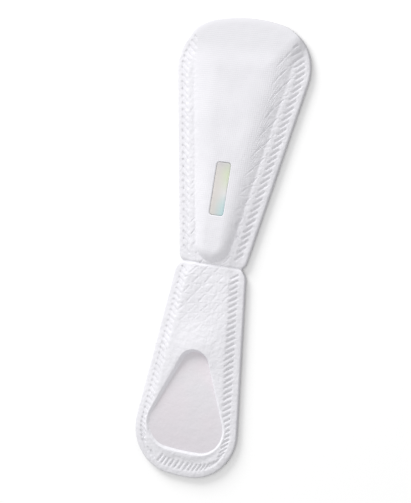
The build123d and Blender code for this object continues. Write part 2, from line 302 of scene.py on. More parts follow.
def edge_distance(points, loop, chunk=4000):
    """Signed distance from a closed line, positive inside: the nearest of its pieces, worked in chunks."""
    ahead = np.roll(loop, -1, axis=0)
    run = ahead - loop
    run_square = (run**2).sum(axis=1)
    area = (loop[:, 0] * ahead[:, 1] - loop[:, 1] * ahead[:, 0]).sum()
    distance = np.empty(len(points))
    for first in range(0, len(points), chunk):
        away = points[first:first + chunk, None, :] - loop
        share = np.clip((away * run).sum(axis=2) / run_square, 0, 1)
        gap = away - share[..., None] * run
        square = (gap**2).sum(axis=2)
        nearest = square.argmin(axis=1)
        row = np.arange(len(nearest))
        side = run[nearest, 0] * away[row, nearest, 1] - run[nearest, 1] * away[row, nearest, 0]
        inside = np.sign(side) * np.sign(area)
        distance[first:first + chunk] = np.sqrt(square[row, nearest]) * inside
    return distance


def rough_loop(loop):
    """A closed line in coarser pieces, which is enough to measure distances from."""
    return spaced(np.concatenate([loop, loop[:1]]), OUTLINE_STEP)[:-1]


def ease(value):
    """Smooth step from 0 to 1: 3 v^2 - 2 v^3, with v held between 0 and 1."""
    value = np.clip(value, 0, 1)
    return value * value * (3 - 2 * value)


def rolled(distance, radius):
    """Fall of a rounded edge at a distance from it, a quarter circle: r (1 - sqrt(1 - (1 - d/r)^2))."""
    edge = np.clip(1 - distance / radius, 0, 1)
    return radius * (1 - np.sqrt(1 - edge**2))


rough_outline, rough_teardrop = rough_loop(outline), rough_loop(teardrop)
print(len(rough_outline), "pieces of outline,", len(rough_teardrop), "of teardrop")

# %% [markdown]
# The hump swells over the strip. Its foot is a rounded nose at the crease and two flared sides, its walls
# curve over into a level top, and near the wide end the top ramps down to the edge.

# %% The hump
HUMP_MARGIN = 5.9
HUMP_NOSE = 0.9
HUMP_NOSE_RADIUS = 4.8
WALL_RUN = (3.0, 0.137)
WALL_POWER = (2.2, 0.033)
CROWN_FROM = 37.0
SHOULDER_BLEND = 0.5
LEAST_BLEND = 0.01
RAMP_LENGTH = 12.5
RAMP_EDGE = 0.5
RAMP_BLEND = 40.0


def hump_inset(points):
    """Distance in from the hump's foot: the nearer of flared side and nose, with a rounded corner."""
    lean = math.radians(UPPER_FLARE)
    foot_x = UPPER_FOOT[0] / 2 - HUMP_MARGIN + math.tan(lean) * (points[:, 1] - UPPER_FOOT[1])
    from_side = (foot_x - np.abs(points[:, 0])) * math.cos(lean)
    from_nose = points[:, 1] - HUMP_NOSE
    short_side, short_nose = HUMP_NOSE_RADIUS - from_side, HUMP_NOSE_RADIUS - from_nose
    beyond = np.hypot(np.maximum(short_side, 0), np.maximum(short_nose, 0))
    within = np.minimum(np.maximum(short_side, short_nose), 0)
    return HUMP_NOSE_RADIUS - beyond - within


def ramp_level(y):
    """Level of the hump's top: flat, then an arc of radius RAMP_BLEND into a straight slope to the end."""
    fall = (HUMP_TOP - FLANGE_TOP - RAMP_EDGE) / RAMP_LENGTH
    past = y - (UPPER_LENGTH - RAMP_LENGTH)
    half = RAMP_BLEND * fall / 2
    curve = np.clip(past + half, 0, 2 * half) ** 2 / (2 * RAMP_BLEND)
    return HUMP_TOP - curve - fall * np.maximum(past - half, 0)


def hump_height(points):
    """Wall 1 - (1 - t)^power over its run, blended with the ramp level where the two meet. The run and the
    power both grow towards the wide end, where the walls turn into a broad crown."""
    power = WALL_POWER[0] + WALL_POWER[1] * np.maximum(points[:, 1] - CROWN_FROM, 0)
    share = hump_inset(points) / (WALL_RUN[0] + WALL_RUN[1] * np.maximum(points[:, 1], 0))
    wall = np.where(share > 0, 1 - (1 - np.clip(share, 0, 1)) ** power, power * share)
    wall = BODY_TOP + (HUMP_TOP - BODY_TOP) * wall
    level = ramp_level(points[:, 1])
    blend = LEAST_BLEND + SHOULDER_BLEND * ease((HUMP_TOP - level) / SHOULDER_BLEND)
    near = np.maximum(blend - np.abs(wall - level), 0)
    return np.minimum(wall, level) - near**2 / (4 * blend)


print("ramp ends", round(ramp_level(UPPER_LENGTH) - FLANGE_TOP, 2), "mm above the flange")

# %% [markdown]
# The seal is a row of short slanted bars, pressed into the flange by a toothed tool. On the right they
# all lean one way and stand up more at the sampling end, where the row runs on past the middle. The left
# side mirrors the rest. Bars could be cut out of a solid, but as dents in the height they get the soft
# edges of paper.

# %% The pressed bars of the seal
BAR_WIDTH = 0.52
BAR_FLOOR = FLANGE_TOP - 0.35
BAR_DEPTH = 0.28
BAR_SOFT = 0.3
BAR_POINT = 0.7
BAR_CROSSING = 8.0
UPPER_BAR = {"first": 1.5, "length": 3.3, "pitch": 2.2, "rim": 1.5, "side_lean": 42, "end_lean": 42}
LOWER_BAR = {"first": 0.0, "length": 2.7, "pitch": 1.72, "rim": 2.0, "side_lean": 35, "end_lean": 62}
LOOK_AHEAD = 0.1


def bars_along(path, bar, stop, inner_side):
    """One row per bar: middle, direction and length. The bars step evenly along the edge, lie inwards by
    the rim and half their reach, and lean from the side's angle to the end's as the edge turns."""
    places = np.arange(bar["first"], stop, bar["pitch"])
    spot = at_lengths(path, places)
    forward = unit(at_lengths(path, places + LOOK_AHEAD) - spot)
    inward = np.stack([-forward[:, 1], forward[:, 0]], axis=1) * inner_side
    lean = np.radians(bar["side_lean"] + (bar["end_lean"] - bar["side_lean"]) * np.abs(inward[:, 1]))
    direction = heading(lean)
    reach = np.abs((direction * inward).sum(axis=1)) * bar["length"] / 2
    middle = spot + inward * (bar["rim"] + reach)[:, None]
    return np.concatenate([middle, direction, np.full((len(middle), 1), bar["length"])], axis=1)


def bar_mark(points):
    """How deeply each place is pressed, 0 to 1: the deepest of all bars, each a soft-edged long lozenge."""
    mark = np.zeros(len(points))
    for x, y, run_x, run_y, length in all_bars:
        away = points - [x, y]
        along = np.abs(away @ [run_x, run_y])
        across = np.abs(away @ [-run_y, run_x])
        inset = np.minimum(BAR_WIDTH / 2 - across, (length / 2 - along) * BAR_POINT)
        mark = np.maximum(mark, ease(0.5 + inset / BAR_SOFT))
    return mark


upper_bars = bars_along(upper_bar_path, UPPER_BAR, upper_bar_stop, inner_side=1)
end_path = np.concatenate([lower_bar_path, lower_bar_path[-2::-1] * [-1, 1]])
end_stop = run_length(lower_bar_path)[-1] + BAR_CROSSING
lower_bars = bars_along(end_path, LOWER_BAR, end_stop, inner_side=-1)
left_bars = np.concatenate([upper_bars, lower_bars[lower_bars[:, 0] > BAR_CROSSING]]) * [-1, 1, -1, 1, 1]
all_bars = np.concatenate([upper_bars, lower_bars, left_bars])
print(len(all_bars), "bars")

# %% [markdown]
# Damp pulp shrinks as it dries, so no part of the sheet is truly flat. Noise could roughen it, but a sum
# of long sine waves is smoother, and a seeded generator draws the same waves on every run.

# %% Waviness
WAVE_SEED = 7
WAVES = 24
WAVE_LENGTHS = (2.5, 9.0)
rng = np.random.default_rng(WAVE_SEED)
wave_turns = rng.uniform(0, math.pi, WAVES)
wave_lengths = rng.uniform(*WAVE_LENGTHS, WAVES)
wave_starts = rng.uniform(0, 2 * math.pi, WAVES)


def unevenness(points):
    """Sum of sine waves sin(2 pi d / length + start), d along each direction, scaled to about one."""
    total = np.zeros(len(points))
    for turned, length, start in zip(wave_turns, wave_lengths, wave_starts):
        across = points @ heading(turned)
        total += np.sin(across * 2 * math.pi / length + start)
    return total / math.sqrt(WAVES)


print("waves", wave_lengths.min().round(1), "to", wave_lengths.max().round(1), "mm long")

# %% [markdown]
# A lattice of fine dashes is pressed into the flat parts to bond the plies. It is made of triangles:
# rows, turned a little against the case, slants that lean to the right, and short crossing lines, each
# broken where the others meet it. A step is a length and a lean in degrees, a dash a depth share and a
# length.

# %% The dash lattice
ROW_STEP = (4.0, 9.0)
SLANT_STEP = (4.2, 53.0)
ROW_DASH, SLANT_DASH, CROSS_DASH = (0.55, 2.9), (1.0, 3.2), (0.5, 2.0)
DASH_WIDTH = 0.36
DASH_SOFT = 0.3
DASH_WANDER = 0.08


def dash_mark(points):
    """Depth share of the lattice. Each place is u steps along a row and v along a slant, so rows lie where
    v is whole, slants where u is, and crossing lines where u + v is. A dash is a soft-edged piece of such
    a line. The places wander a little, as damp paper does."""
    points = points + DASH_WANDER * np.stack([unevenness(points), unevenness(points[:, ::-1])], axis=1)
    row, slant = (length * heading(math.radians(lean)) for length, lean in (ROW_STEP, SLANT_STEP))
    u, v = np.linalg.solve(np.stack([row, slant], axis=1), points.T)
    cell = row[0] * slant[1] - row[1] * slant[0]
    lines = ((v, u, row, ROW_DASH), (u, v, slant, SLANT_DASH), (u + v, v, slant - row, CROSS_DASH))
    mark = np.zeros(len(points))
    for across, along, step, (depth, length) in lines:
        span = np.linalg.norm(step)
        off_line = np.abs(across - np.round(across)) * cell / span
        from_end = length / 2 - np.abs(along % 1 - 0.5) * span
        inset = np.minimum(DASH_WIDTH / 2 - off_line, from_end)
        mark = np.maximum(mark, depth * ease(0.5 + inset / DASH_SOFT))
    return mark


# %% [markdown]
# Inside the flange the two sheets part round the pads, and the front rises to a padded body. It is fullest
# at the teardrop's tip, where the pad's tongue dives under it, and lowest at the sampling end.

# %% The padded body
FLANGE = 1.2
BODY_RUN = 4.2
BEAD_FROM = -48.0
BEAD_SPAN = 10.0
BEAD_FLANGE = 3.2
BEAD_RUN = 2.2
BEAD_RISE = 0.4
SINK_FROM = -30.0
SINK_SPAN = 22.0
TIP_SWELL = 1.0
TIP_SPREAD = 7.0


def body_height(points, rim):
    """A flat flange, then a soft rise. It swells round the teardrop's tip as a bell curve and sinks towards
    the sampling end, where a wider flange leaves only a bead along the opening."""
    bead = ease((BEAD_FROM - points[:, 1]) / BEAD_SPAN)
    sunk = ease((SINK_FROM - points[:, 1]) / SINK_SPAN)
    rise = BODY_RISE + (BEAD_RISE - BODY_RISE) * sunk
    rise += TIP_SWELL * np.exp(-((points - [0, TEAR_TIP]) ** 2).sum(axis=1) / TIP_SPREAD**2)
    run = BODY_RUN + (BEAD_RUN - BODY_RUN) * bead
    return FLANGE_TOP + rise * ease((rim - FLANGE - BEAD_FLANGE * bead) / run)


def smooth_level(points, rim):
    """The mould's large forms alone: flange, padded body and hump."""
    return np.maximum(body_height(points, rim), hump_height(points))


print("body", BODY_RISE, "to", BODY_RISE + TIP_SWELL, "mm above the flange")

# %% [markdown]
# The marks are taken off the large forms. The bars keep clear of the opening and stop at the hump's foot,
# which they climb only at the wide end's corners. The lattice fills the neck, fades before the teardrop,
# and climbs the hump's foot, further on the right and where the hump is wide.

# %% The marks in the paper
BAR_GAP = 0.4
BAR_CLIMB = 0.3
BAR_CLIMB_FADE = 0.6
CORNER_CLIMB = 1.4
CORNER_FROM = 55.0
CORNER_SPAN = 8.0
NECK_DASH = 0.12
SIDE_DASH = 0.19
SIDE_CLIMB = (1.6, 0.05)
LEFT_CLIMB = 0.5
CLIMB_FADE = 1.6
DASH_FADE = (-12.0, -26.0)
DASH_END_GAP = 6.0
DASH_RIM = 4.0
DASH_RIM_FADE = 0.7


def bar_depth(points, level, opening, inset):
    """Depth of the bars: the mark times BAR_DEPTH, or less where that would pass their floor."""
    climb = BAR_CLIMB + CORNER_CLIMB * ease((points[:, 1] - CORNER_FROM) / CORNER_SPAN)
    clear = ease((opening - BAR_GAP) / BAR_GAP) * ease((climb - inset) / BAR_CLIMB_FADE)
    return bar_mark(points) * clear * np.minimum(level - BAR_FLOOR, BAR_DEPTH)


def dash_depth(points, rim, inset):
    """Depth of the lattice: the mark times the depth of its zone, neck or side, away from the rim."""
    x, y = points[:, 0], points[:, 1]
    neck = (y < 0) * ease((y - DASH_FADE[1]) / (DASH_FADE[0] - DASH_FADE[1]))
    climb = np.where(x > 0, SIDE_CLIMB[0] + SIDE_CLIMB[1] * y, LEFT_CLIMB)
    side = (y > 0) * ease((UPPER_LENGTH - DASH_END_GAP - y) / DASH_END_GAP)
    zone = NECK_DASH * neck + SIDE_DASH * side * ease((climb - inset) / CLIMB_FADE)
    return dash_mark(points) * zone * ease((rim - DASH_RIM) / DASH_RIM_FADE)


# %% [markdown]
# Last come the crease, a fold pressed across the waist, and the edges: the paper falls off along its rim
# and rolls down to the pad at the teardrop's lip. The inside runs one ply below the large forms.

# %% The whole front surface
EDGE_ROUND = 0.3
EDGE_FALL = 0.28
EDGE_FALL_RUN = 2.0
CREASE_DEPTH = 0.32
CREASE_SPREAD = 0.42
LIP_RUN = 0.6
LIP_ROLL = 0.25
UNEVEN = 0.018
UNEVEN_RUN = 2.0


def front_height(points):
    """Level of the front: large forms, minus bars, dashes and a bell-shaped crease, plus waviness. The lip
    eases down to the pad. The edge is rounded, and the flange falls to it with the distance's square."""
    rim = edge_distance(points, rough_outline)
    opening = -edge_distance(points, rough_teardrop)
    inset = hump_inset(points)
    level = smooth_level(points, rim)
    level -= bar_depth(points, level, opening, inset)
    level -= dash_depth(points, rim, inset)
    level -= CREASE_DEPTH * np.exp(-(points[:, 1] / CREASE_SPREAD) ** 2)
    level += UNEVEN * unevenness(points) * ease(rim / UNEVEN_RUN)
    lip = ease((LIP_ROLL - opening) / (LIP_ROLL + LIP_RUN))
    level += (PAD_TOP - level) * lip
    level -= rolled(rim, EDGE_ROUND)
    level -= EDGE_FALL * np.clip(1 - rim / EDGE_FALL_RUN, 0, 1) ** 2
    return level


def under_height(points):
    """Level of the sheet's inside: one ply below the large forms, or flat on the back sheet."""
    rim = edge_distance(points, rough_outline)
    return np.maximum(smooth_level(points, rim) - PLY, BACK_TOP)


print("crease pressed down to", front_height(np.array([[0.0, 0.0]]))[0].round(2), "mm")

# %% [markdown]
# ## The front sheet as one mesh
# The sheet has two holes, so a plain square grid won't fit its edges. Instead, three patches share their
# border lines: one carried from the upper outline in to the window, a neck of straight rows, and one
# carried from the lower outline in to the teardrop. In a carried patch each rung leaves the outer line
# square-on and bends towards the hole as a cubic curve, so the grid follows the pressed edge.

# %% Rungs between two lines
EDGE_RINGS = 5
FIRST_STEP = 0.22


def square_on(line, toward):
    """Unit normals of a line of points, on the side that faces a second line."""
    along = unit(np.gradient(line, axis=0))
    normal = np.stack([-along[:, 1], along[:, 0]], axis=1)
    return normal * np.where((normal * (toward - line)).sum(axis=1) < 0, -1, 1)[:, None]


def rungs(outer, inner, rings, corner):
    """Grid of points [ring, place] between two lines. Each rung is a cubic curve
    P0 (1-g)^3 + 3 P1 g (1-g)^2 + 3 P2 g^2 (1-g) + P3 g^3. The first handle is square to the outer line and
    shorter near its corner, the second points straight back. The first rings step round the edge's quarter
    circle, the rest widen with t^4."""
    span = np.linalg.norm(inner - outer, axis=1)
    along = run_length(outer)
    handle = np.minimum(span / 3, np.abs(along - along[corner]) / 2)
    first = outer + square_on(outer, inner) * handle[:, None]
    second = inner + (outer - inner) / 3
    round_steps = EDGE_ROUND * (1 - np.cos(np.linspace(0, math.pi / 2, EDGE_RINGS)[:-1]))
    t = np.linspace(0, 1, rings - EDGE_RINGS + 1)[:, None]
    even = np.minimum(FIRST_STEP * rings, span - EDGE_ROUND)
    later = EDGE_ROUND + even * t + (span - EDGE_ROUND - even) * t**4
    g = np.concatenate([np.repeat(round_steps[:, None], len(span), axis=1), later]) / span
    g = g[:, :, None]
    grid = outer * (1 - g) ** 3 + 3 * first * g * (1 - g) ** 2 + 3 * second * g**2 * (1 - g) + inner * g**3
    grid[:, [0, -1], 0] = 0
    return grid


def paired(line, outer, warp=1.0):
    """Points of an inner line, as far along it as the outer points are along theirs, to a power."""
    share = (run_length(outer) / run_length(outer)[-1]) ** warp
    return at_lengths(line, share * run_length(line)[-1])


# %% [markdown]
# The neck is a ladder of straight rows, with closer points at the edge, where the paper curves down. Its
# first and last rows are borders of the carried patches, which go on from them along the outline, so both
# outer lines turn a corner at the same count of points.

# %% The three patches of the right half
SIDE_STEP = 0.28
NECK_END = -22.0
NECK_STEP = 0.21
NECK_COLUMNS = 50
EDGE_COLUMNS = np.array([0.03, 0.022, 0.015, 0.008, 0.003, 0])
UPPER_RINGS = 42
LOWER_RINGS = 28
COLLAR = 2.0
WINDOW_WARP = 0.75
LEAST_GAP = 1e-6


def cut_at(line, y):
    """The part of a falling line below a level, starting exactly on it."""
    start = np.array([np.interp(-y, -line[:, 1], line[:, 0]), y])
    return np.concatenate([[start], line[line[:, 1] < y - LEAST_GAP]])


neck_columns = np.concatenate([np.linspace(0, 1, NECK_COLUMNS)[:-2], 1 - EDGE_COLUMNS])
lower_side = cut_at(lower_edge, NECK_END)
neck_rows = spaced(lower_edge[lower_edge[:, 1] >= NECK_END], NECK_STEP)
neck_rows[-1] = lower_side[0]
neck = np.stack(np.broadcast_arrays(neck_rows[:, :1] * neck_columns, neck_rows[:, 1:]), axis=2)

corner_at = len(neck_columns) - 1
upper_outer = np.concatenate([neck[0, :-1], spaced(upper_edge, SIDE_STEP)])
lower_outer = np.concatenate([neck[-1, :-1], spaced(lower_side, SIDE_STEP)])
upper_outer[corner_at] = neck[0, -1]
upper_inner = paired(window_edge(COLLAR), upper_outer, WINDOW_WARP)
upper_main = rungs(upper_outer, upper_inner, UPPER_RINGS, corner_at)
lower_main = rungs(lower_outer, paired(tear_edge(LIP_ROLL), lower_outer), LOWER_RINGS, corner_at)
print("rings", upper_main.shape, neck.shape, lower_main.shape)

# %% [markdown]
# Next to the holes the rings lie closer. Round the window they make a collar that rolls over into a nearly
# upright wall, down to the film, and round the teardrop a lip that slopes down to the pad. Each patch then
# turns under and runs back out along the sheet's inside, in wider steps, since nobody sees it.

# %% Rings and levels
UNDER_SKIP = 8


def rings_round(edge, margins, outer, warp=1.0):
    """Rings round a hole, one per margin, with their ends held on the middle line."""
    rings = np.stack([paired(edge(margin), outer, warp) for margin in margins])
    rings[:, [0, -1], 0] = 0
    return rings


def levelled(grid, height, side):
    """Puts a plan grid on the right side (1) or, mirrored, on the left (-1), and adds to each place the
    level that a function or a number gives there."""
    grid = grid * [side, 1]
    level = height(grid.reshape(-1, 2)).reshape(grid.shape[:-1]) if callable(height) else height
    return np.concatenate([grid, np.broadcast_to(level, grid.shape[:-1])[..., None]], axis=-1)


def inside_of(main, side):
    """The sheet's inside. Its last ring lies on the neck's inside up to the corner, then on the back."""
    inside = levelled(main[::-UNDER_SKIP], under_height, side)
    seat = levelled(main[:1], under_height, side)
    seat[0, corner_at:, 2] = BACK_TOP
    return np.concatenate([inside[:-1], seat])


# %% Collar, lip and inside
COLLAR_STEPS = np.array([1.6, 1.2, 0.85, 0.6, 0.45, 0.35, 0.22, 0.12, 0.04, 0.0])
COLLAR_ROLL = 0.25
WALL_DRAFT = 0.05
WALL_RINGS = 5
LIP_RINGS = 10
LIP_STEPS = np.linspace(LIP_ROLL, -LIP_RUN, LIP_RINGS + 1)[1:]
FOOT_WALL = 0.7


def upper_patch(side):
    """Top rings, rolled collar, window wall, the wall's foot and the inside."""
    top = levelled(upper_main, front_height, side)
    round_window = {"outer": upper_outer, "warp": WINDOW_WARP}
    collar = levelled(rings_round(window_edge, COLLAR_STEPS, **round_window), front_height, side)
    collar[..., 2] -= rolled(COLLAR_STEPS, COLLAR_ROLL)[:, None]
    share = np.linspace(0, 1, WALL_RINGS + 1)[1:]
    wall_level = collar[-1, :, 2] + share[:, None] * (FILM_TOP - collar[-1, :, 2])
    wall = levelled(rings_round(window_edge, -WALL_DRAFT * share, **round_window), wall_level, side)
    foot = levelled(rings_round(window_edge, [FOOT_WALL], **round_window), FILM_TOP, side)
    return np.concatenate([top, collar, wall, foot, inside_of(upper_main, side)])


def lower_patch(side):
    """Top rings, rolled lip down to the pad, the lip's foot and the inside."""
    top = levelled(lower_main, front_height, side)
    lip = levelled(rings_round(tear_edge, LIP_STEPS, lower_outer), front_height, side)
    foot = levelled(rings_round(tear_edge, [FOOT_WALL - LIP_RUN], lower_outer), PAD_TOP, side)
    return np.concatenate([top, lip, foot, inside_of(lower_main, side)])


print(len(COLLAR_STEPS), "rings in the collar,", len(LIP_STEPS), "in the lip")

# %% [markdown]
# The patches become one mesh: points that two patches share are welded, faces are turned outwards, and a
# wall closes the outer edge. Edges that don't belong to two faces are counted, because a sealed sheet has
# none.

# %% Join the patches
WELD = 0.002
SHARP_ANGLE = 60


def numbered(*grids):
    """The points of several grids in one list, and the numbers of each grid's points in it."""
    points = np.concatenate([grid.reshape(-1, 3) for grid in grids])
    numbers = np.split(np.arange(len(points)), np.cumsum([grid[..., 0].size for grid in grids])[:-1])
    return points, [part.reshape(grid.shape[:2]) for part, grid in zip(numbers, grids)]


def quads(index):
    """Faces of a numbered grid: each place, its right-hand neighbour and the two of the next row."""
    corners = [index[:-1, :-1], index[:-1, 1:], index[1:, 1:], index[1:, :-1]]
    return np.stack(corners, axis=-1).reshape(-1, 4)


def edge_wall(first, last):
    """Faces between two rows of point numbers."""
    return np.stack([last[:-1], last[1:], first[1:], first[:-1]], axis=1)


def joined(first, second):
    """Two sets of points and faces as one."""
    return np.concatenate([first[0], second[0]]), np.concatenate([first[1], second[1] + len(first[0])])


def add_piece(name, points, faces):
    """A mesh of points in millimetres from the crease: welded, turned outwards and shaded smooth."""
    mesh = bpy.data.meshes.new(name)
    mesh.from_pydata((points + [0, CREASE_Y, 0]) * MM, [], faces.tolist())
    welder = bmesh.new()
    welder.from_mesh(mesh)
    bmesh.ops.remove_doubles(welder, verts=welder.verts, dist=WELD * MM)
    bmesh.ops.recalc_face_normals(welder, faces=welder.faces)
    open_edges = sum(not edge.is_manifold for edge in welder.edges)
    welder.to_mesh(mesh)
    welder.free()
    mesh.polygons.foreach_set("use_smooth", np.ones(len(mesh.polygons), bool))
    mesh.set_sharp_from_angle(angle=math.radians(SHARP_ANGLE))
    mesh.calc_loop_triangles()
    print(name, len(mesh.loop_triangles), "triangles,", open_edges, "open edges")
    return added(name, mesh)


# %% The front sheet
def half_sheet(side):
    """The three patches of one side and their edge walls."""
    neck_top, neck_under = levelled(neck, front_height, side), levelled(neck, under_height, side)
    neck_under[:, -1, 2] = BACK_TOP
    points, index = numbered(upper_patch(side), lower_patch(side), neck_top, neck_under)
    faces = []
    for patch in index[:2]:
        faces += [quads(patch), edge_wall(patch[0, corner_at:], patch[-1, corner_at:])]
    above, below = index[2:]
    faces += [quads(above), quads(below), edge_wall(below[:, -1], above[:, -1])]
    return points, np.concatenate(faces)


front = add_piece("front_sheet", *joined(half_sheet(1), half_sheet(-1)))
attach(front, "root")
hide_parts("front_ply")

# %% [markdown]
# ## The absorbent pad
# A felted pad lies under the teardrop and feeds the strip through a narrow tongue. A cut plate would be
# too crisp, so it is a surface as well. Its plan follows the case, rungs run from its edge to the middle
# line, and faint waves keep its top from being quite flat.

# %% The pad's plan
PAD_INSET = 6.2
PAD_LAP = 0.9
PAD_FROM = -6.0
PAD_SHOULDER = -4.0
SHOULDER_CUT = (0.5, 1.0)
TONGUE_WIDTH = 5.4
TONGUE_END = 10.5
PLAN_STEP = 0.1
PAD_STEP = 0.22
MIDDLE_PULL = 0.6


def pad_edge():
    """Right half of the pad's plan: the tongue's end and side, the shoulder, then the wider of the case's
    inner line and the teardrop's lap, down to the middle of the sampling end."""
    normal = square_on(lower_edge, lower_edge * [0, MIDDLE_PULL])
    inner = (lower_edge + normal * PAD_INSET)[lower_edge[:, 1] < PAD_FROM]
    lap = tear_edge(PAD_LAP - LIP_RUN)
    falling = spaced(inner, PLAN_STEP)
    wide = np.maximum(falling[:, 0], np.interp(-falling[:, 1], -lap[:, 1], lap[:, 0], right=0))
    side = np.stack([wide, falling[:, 1]], axis=1)
    side = side[side[:, 1] < PAD_SHOULDER - SHOULDER_CUT[1]]
    side[-1, 0] = 0
    half = TONGUE_WIDTH / 2
    shoulder = (side[0, 0] - SHOULDER_CUT[0], PAD_SHOULDER)
    tongue = np.array([(0, TONGUE_END), (half, TONGUE_END), (half, PAD_SHOULDER), shoulder])
    return spaced(np.concatenate([tongue, side]), PAD_STEP)


print("pad", round(2 * pad_edge()[:, 0].max(), 1), "mm wide")

# %% [markdown]
# The pad lies on the back sheet, and its tongue climbs in two steps over the strip's card and pad. Where
# the edge runs straight across, rungs to the nearest place on the middle line would all meet in one point.
# They fan out instead.

# %% Softened lines and closed shells
def softened(values, reach):
    """Moving average along a line, which is continued as its mirror image at both ends."""
    longer = np.pad(values, reach, mode="reflect")
    return np.convolve(longer, np.full(2 * reach + 1, 1 / (2 * reach + 1)), mode="valid")


def closed_shell(top, under):
    """Points and faces of a thin shell, right half and mirror image: rings on top from the rim in to the
    middle line, rings below from there out to the rim, and a wall between the two rims."""
    points, (above, below) = numbered(top, under)
    faces = np.concatenate([quads(above), quads(below), edge_wall(above[0], below[-1])])
    return joined((points, faces), (points * [-1, 1, 1], faces[:, ::-1]))


# %% The absorbent pad
TONGUE_LINE = np.array([(-6, 0.0), (6.2, 0.0), (7.0, 0.85), (8.1, 0.85), (8.5, 1.25), (TONGUE_END, 1.25)])
PAD_RINGS = 46
PAD_CROWDING = 1.3
PAD_UNDER_SKIP = 9
PAD_WAVES = 0.015
PAD_WAVES_RUN = 2.0
PAD_EDGE_DROP = 0.12
PAD_EDGE_RUN = 0.8
FAN_START = TEAR_END + 8
FAN_SQUEEZE = 0.1
FAN_REACH = 28


def pad_surface():
    """Straight rungs from the pad's edge to the middle line, for the top and, more coarsely, the underside.
    Their inner ends follow a softened copy of the edge's Y values, squeezed at the sampling end. The top
    is the base plus the thickness and faint waves, and eases down at its edge."""
    outer = pad_edge()
    squeezed = FAN_START + FAN_SQUEEZE * (outer[:, 1] - FAN_START)
    middle_y = softened(np.maximum(outer[:, 1], squeezed), FAN_REACH)
    inner = np.stack([0 * middle_y, middle_y], axis=1)
    share = np.linspace(0, 1, PAD_RINGS)[:, None, None] ** PAD_CROWDING
    plan = outer + (inner - outer) * share
    base = BACK_TOP + np.interp(plan[..., 1], TONGUE_LINE[:, 0], TONGUE_LINE[:, 1])
    inset = np.linalg.norm(plan - outer, axis=2)
    waves = unevenness(plan.reshape(-1, 2)).reshape(inset.shape) * PAD_WAVES * ease(inset / PAD_WAVES_RUN)
    level = base + PAD_THICKNESS + waves - PAD_EDGE_DROP * (1 - ease(inset / PAD_EDGE_RUN))
    bottom = levelled(plan, base, 1)
    under = np.concatenate([bottom[::-PAD_UNDER_SKIP], bottom[:1]])
    return closed_shell(levelled(plan, level, 1), under)


pad = add_piece("absorbent_pad", *pad_surface())
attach(pad, "root")
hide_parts("collection_pad")

# %% [markdown]
# ## The film in the window
# A clear film is bonded under the paper and bulges up into the window, where it keeps dirt off the strip.
# It could be a drawn plate, but rings that step in from its rim give the bulge a true curve.

# %% The film in the window
FILM_LAP = 0.6
FILM_THICKNESS = 0.25
FILM_DOME = 0.68
FILM_RISE = 0.22
FILM_STEP = 0.25
FILM_EDGE_RINGS = 9
FILM_FLAT_RINGS = 5


def film_surface():
    """Rings from the bonded lap in to the middle line. Within the window's edge the film rises by a quarter
    ellipse, sqrt(1 - (1 - d)^2), and then stays level. The underside runs a film's thickness below."""
    outer = spaced(window_edge(FILM_LAP), FILM_STEP)
    rise_steps = FILM_RISE * np.linspace(0, 1, FILM_EDGE_RINGS) ** 2
    insets = np.concatenate([[-FILM_LAP, -FILM_LAP / 2], rise_steps])
    rings = rings_round(window_edge, -insets, outer)
    flat_half = (WINDOW_LENGTH - WINDOW_WIDTH) / 2
    middle_y = np.clip(rings[-1, :, 1], WINDOW_RISE - flat_half, WINDOW_RISE + flat_half)
    middle = np.stack([0 * middle_y, middle_y], axis=1)
    share = np.linspace(0, 1, FILM_FLAT_RINGS + 1)[1:, None, None]
    plan = np.concatenate([rings, rings[-1] + (middle - rings[-1]) * share])
    rise = np.sqrt(1 - (1 - np.clip(insets / FILM_RISE, 0, 1)) ** 2) * FILM_DOME
    level = FILM_TOP + np.concatenate([rise, np.full(len(share), FILM_DOME)])
    top = levelled(plan, level[:, None], 1)
    return closed_shell(top, top[::-1] - [0, 0, FILM_THICKNESS])


film = add_piece("window_sheet", *film_surface())
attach(film, "root")
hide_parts("window_film")

# %% [markdown]
# ## Finishes
# Each finish is a small tree of nodes on object coordinates, so a pattern has its real size in millimetres
# and stays on the piece. One helper sets or links a node's inputs, and the rest build on it.

# %% Node helpers
def set_inputs(made, **inputs):
    """Stores a value on a node's input, or links another node's output to it. In an input's name, _ stands
    for a space, and i6 is the input with that number."""
    for name, value in inputs.items():
        socket = made.inputs[int(name[1:]) if name[1:].isdigit() else name.replace("_", " ")]
        if isinstance(value, bpy.types.NodeSocket):
            made.id_data.links.new(value, socket)
        else:
            socket.default_value = value


def new_finish(name, roughness, specular):
    """A material with its main shader, set to a plain roughness and specular level."""
    finish = bpy.data.materials.new(name)
    finish.use_nodes = True
    shader = finish.node_tree.nodes["Principled BSDF"]
    set_inputs(shader, Roughness=roughness, Specular_IOR_Level=specular)
    return finish, shader


def node(shader, kind, **inputs):
    """A new node in a shader's tree, with its inputs."""
    made = shader.id_data.nodes.new(kind)
    set_inputs(made, **inputs)
    return made


def object_place(shader):
    """Object coordinates in metres. The pieces made here sit at the origin, so they are the frame's."""
    return node(shader, "ShaderNodeTexCoord").outputs["Object"]


def grain(shader, size, detail):
    """Noise whose grains are about size millimetres; returns its value."""
    place, scale = object_place(shader), 1 / (size * MM)
    return node(shader, "ShaderNodeTexNoise", Vector=place, Scale=scale, Detail=detail).outputs["Fac"]


def calculate(shader, operation, value, *others):
    """Arithmetic on two or more values, one node after the other."""
    for other in others:
        made = node(shader, "ShaderNodeMath", i0=value, i1=other)
        made.operation = operation
        value = made.outputs["Value"]
    return value


def rescaled(shader, value, low, high):
    """A value that runs from 0 to 1 as a length goes from low to high, in millimetres."""
    made = node(shader, "ShaderNodeMapRange", Value=value, From_Min=low * MM, From_Max=high * MM)
    return made.outputs["Result"]


